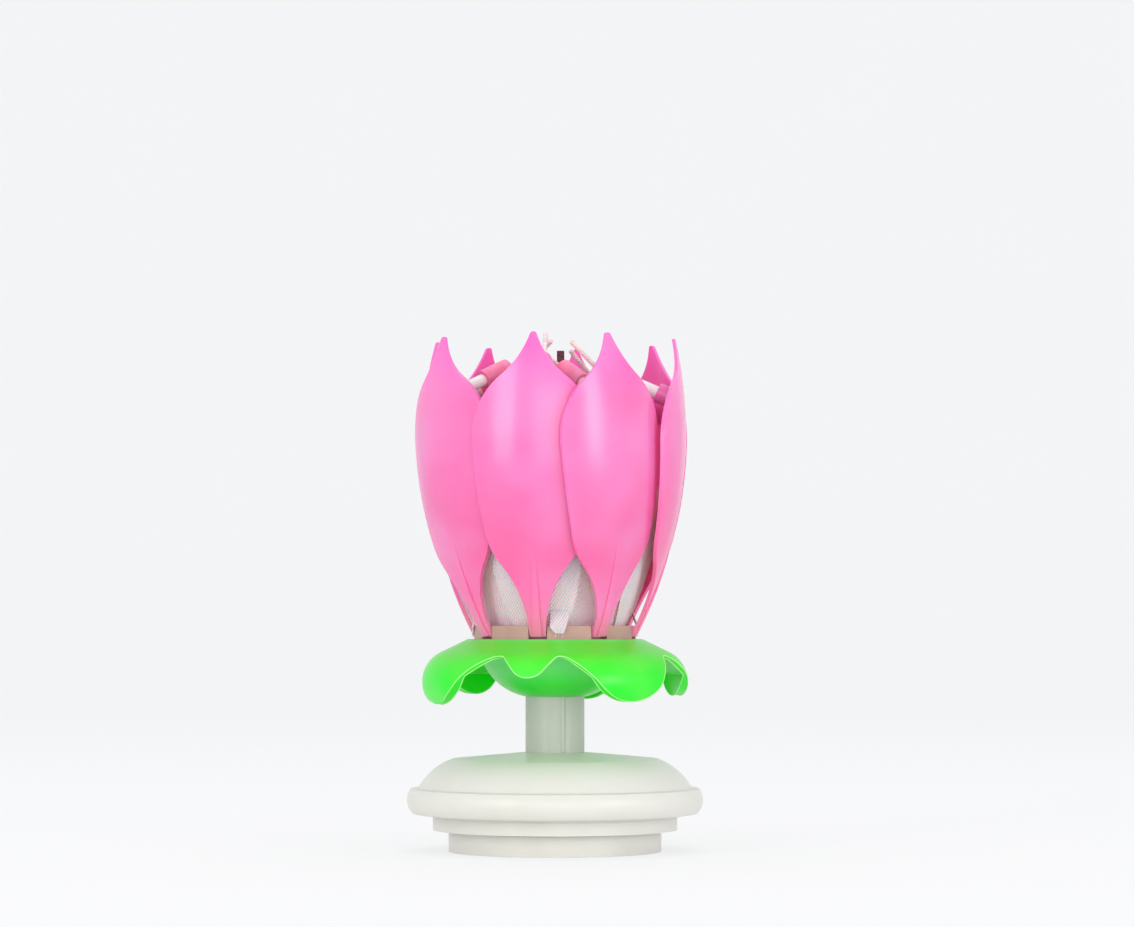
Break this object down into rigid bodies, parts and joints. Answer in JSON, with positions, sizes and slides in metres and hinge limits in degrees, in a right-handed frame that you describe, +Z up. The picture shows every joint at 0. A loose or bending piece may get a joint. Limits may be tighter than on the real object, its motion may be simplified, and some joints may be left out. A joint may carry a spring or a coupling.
{
  "type": "musical birthday candle",
  "caption": "Closed lotus-flower candle with pink petals, a green sepal cup and a slim stem on a round white base that turns on its foot; petals hinge open to raise small candles",
  "frame": {"origin": "centre of the foot's underside, on the surface that the candle stands on", "axes": "+Z up along the stem, -Y towards the side with the short sepal, +X to its right as seen from there"},
  "size_m": [0.0714, 0.0714, 0.125],
  "materials": {
    "white_shell": "gloss",
    "stem_plastic": "satin",
    "green_plastic": "satin",
    "pink_plastic": "satin",
    "cream_plastic": "satin",
    "white_post_plastic": "gloss",
    "wax": "satin",
    "wick_cotton": "matte",
    "fuse_paper": "matte",
    "cloth": "matte",
    "fountain_paper": "matte",
    "gear_plastic": "satin",
    "steel": "brushed",
    "motor_steel": "satin",
    "cell_steel": "satin",
    "contact_brass": "satin",
    "board_resin": "satin",
    "chip_resin": "gloss",
    "piezo_brass": "satin",
    "wire_jacket": "satin",
    "sensor_glass": "gloss",
    "black_plastic": "satin"
  },
  "bodies": {
    "foot": {"foot_cup": "white_shell", "fixed_gear": "gear_plastic", "pivot_screw": "steel"},
    "turntable": {"base_bottom_cover": "white_shell", "base_top_shell": "white_shell", "cover_screws": "steel", "stem_tube": "stem_plastic", "cell_holder": "black_plastic", "button_cells": "cell_steel", "cell_contacts": "contact_brass", "circuit_board": "board_resin", "melody_chip": "chip_resin", "piezo_disc": "piezo_brass", "motor_can": "motor_steel", "gear_axles": "steel", "lead_wires": "wire_jacket", "flame_sensor": "sensor_glass", "calyx": "green_plastic", "petal_hub": "cream_plastic", "hinge_pins": "steel", "cloth_petals_outer": "cloth", "cloth_petals_inner": "cloth", "fountain_tube": "fountain_paper", "fountain_fuse": "fuse_paper"},
    "motor_rotor": {"motor_shaft": "steel", "motor_pinion": "gear_plastic"},
    "gear_a": {"gear_a": "gear_plastic"},
    "gear_b": {"gear_b": "gear_plastic"},
    "petal_1": {"petal_1": "pink_plastic", "candle_post_1": "white_post_plastic", "candle_1": "wax", "wick_1": "wick_cotton"},
    "petal_2": {"petal_2": "pink_plastic", "candle_post_2": "white_post_plastic", "candle_2": "wax", "wick_2": "wick_cotton"},
    "petal_3": {"petal_3": "pink_plastic", "candle_post_3": "white_post_plastic", "candle_3": "wax", "wick_3": "wick_cotton"},
    "petal_4": {"petal_4": "pink_plastic", "candle_post_4": "white_post_plastic", "candle_4": "wax", "wick_4": "wick_cotton"},
    "petal_5": {"petal_5": "pink_plastic", "candle_post_5": "white_post_plastic", "candle_5": "wax", "wick_5": "wick_cotton"},
    "petal_6": {"petal_6": "pink_plastic", "candle_post_6": "white_post_plastic", "candle_6": "wax", "wick_6": "wick_cotton"},
    "petal_7": {"petal_7": "pink_plastic", "candle_post_7": "white_post_plastic", "candle_7": "wax", "wick_7": "wick_cotton"},
    "petal_8": {"petal_8": "pink_plastic", "candle_post_8": "white_post_plastic", "candle_8": "wax", "wick_8": "wick_cotton"}
  },
  "joints": [
    {"name": "turntable_spin", "type": "hinge", "parent": "foot", "child": "turntable", "pos_m": [0, 0, 0.0052], "axis": [0, 0, 1], "continuous": true},
    {"name": "gear_a_spin", "type": "hinge", "parent": "turntable", "child": "gear_a", "pos_m": [-0.0087, 0.00502, 0.009], "axis": [0, 0, 1], "continuous": true},
    {"name": "gear_b_spin", "type": "hinge", "parent": "turntable", "child": "gear_b", "pos_m": [-0.01214, -0.00442, 0.012], "axis": [0, 0, 1], "continuous": true},
    {"name": "motor_spin", "type": "hinge", "parent": "turntable", "child": "motor_rotor", "pos_m": [-0.00712, -0.01312, 0.014], "axis": [0, 0, 1], "continuous": true},
    {"name": "petal_1_hinge", "type": "hinge", "parent": "turntable", "child": "petal_1", "pos_m": [-0.00386, -0.01814, 0.0535], "axis": [0.9781, -0.2079, 0], "range_deg": [0, 60]},
    {"name": "petal_2_hinge", "type": "hinge", "parent": "turntable", "child": "petal_2", "pos_m": [0.0101, -0.01556, 0.0535], "axis": [0.8387, 0.5446, 0], "range_deg": [0, 60]},
    {"name": "petal_3_hinge", "type": "hinge", "parent": "turntable", "child": "petal_3", "pos_m": [0.01814, -0.00386, 0.0535], "axis": [0.2079, 0.9781, 0], "range_deg": [0, 60]},
    {"name": "petal_4_hinge", "type": "hinge", "parent": "turntable", "child": "petal_4", "pos_m": [0.01556, 0.0101, 0.0535], "axis": [-0.5446, 0.8387, 0], "range_deg": [0, 60]},
    {"name": "petal_5_hinge", "type": "hinge", "parent": "turntable", "child": "petal_5", "pos_m": [0.00386, 0.01814, 0.0535], "axis": [-0.9781, 0.2079, 0], "range_deg": [0, 60]},
    {"name": "petal_6_hinge", "type": "hinge", "parent": "turntable", "child": "petal_6", "pos_m": [-0.0101, 0.01556, 0.0535], "axis": [-0.8387, -0.5446, 0], "range_deg": [0, 60]},
    {"name": "petal_7_hinge", "type": "hinge", "parent": "turntable", "child": "petal_7", "pos_m": [-0.01814, 0.00386, 0.0535], "axis": [-0.2079, -0.9781, 0], "range_deg": [0, 60]},
    {"name": "petal_8_hinge", "type": "hinge", "parent": "turntable", "child": "petal_8", "pos_m": [-0.01556, -0.0101, 0.0535], "axis": [0.5446, -0.8387, 0], "range_deg": [0, 60]}
  ],
  "couplings": [
    {"joint": "gear_a_spin", "follows": "turntable_spin", "ratio": 3},
    {"joint": "gear_b_spin", "follows": "turntable_spin", "ratio": -9},
    {"joint": "motor_spin", "follows": "turntable_spin", "ratio": 27},
    {"joint": "petal_2_hinge", "follows": "petal_1_hinge", "ratio": 1},
    {"joint": "petal_3_hinge", "follows": "petal_1_hinge", "ratio": 1},
    {"joint": "petal_4_hinge", "follows": "petal_1_hinge", "ratio": 1},
    {"joint": "petal_5_hinge", "follows": "petal_1_hinge", "ratio": 1},
    {"joint": "petal_6_hinge", "follows": "petal_1_hinge", "ratio": 1},
    {"joint": "petal_7_hinge", "follows": "petal_1_hinge", "ratio": 1},
    {"joint": "petal_8_hinge", "follows": "petal_1_hinge", "ratio": 1}
  ]
}
